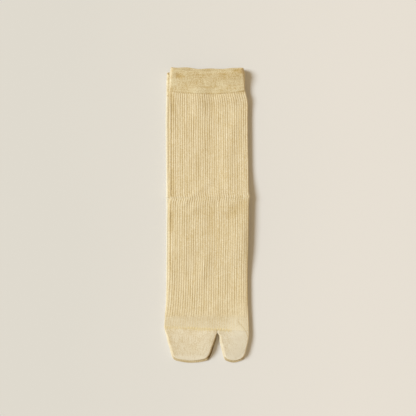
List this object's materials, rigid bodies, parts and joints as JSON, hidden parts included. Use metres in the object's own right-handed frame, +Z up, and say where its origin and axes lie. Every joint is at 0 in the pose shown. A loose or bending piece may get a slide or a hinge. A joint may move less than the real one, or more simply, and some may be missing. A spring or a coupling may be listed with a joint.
{
  "type": "pair of toe socks",
  "caption": "Pair of split-toe crew socks in fine rib, laid flat one on the other, with plain welts, folded heel pockets and a separate big-toe pocket on each.",
  "frame": {"origin": "centre of the pair's box in X and Y, on the surface that it lies on", "axes": "+X across the socks towards both big toes, +Y along them towards the cuffs, +Z up"},
  "size_m": [0.0908, 0.314, 0.0094],
  "materials": {
    "welt_knit": "matte fine plain knit, knitted double",
    "leg_knit": "matte fine rib knit",
    "heel_knit": "matte fine plain knit",
    "foot_knit": "matte fine rib knit above, plain knit below",
    "toe_knit": "matte fine plain knit"
  },
  "bodies": {
    "root": {"lower_cuff": "welt_knit", "lower_leg": "leg_knit", "lower_heel": "heel_knit", "lower_foot": "foot_knit", "lower_four_toe_pocket": "toe_knit", "lower_big_toe_pocket": "toe_knit", "upper_cuff": "welt_knit", "upper_leg": "leg_knit", "upper_heel": "heel_knit", "upper_foot": "foot_knit", "upper_four_toe_pocket": "toe_knit", "upper_big_toe_pocket": "toe_knit"}
  },
  "joints": []
}
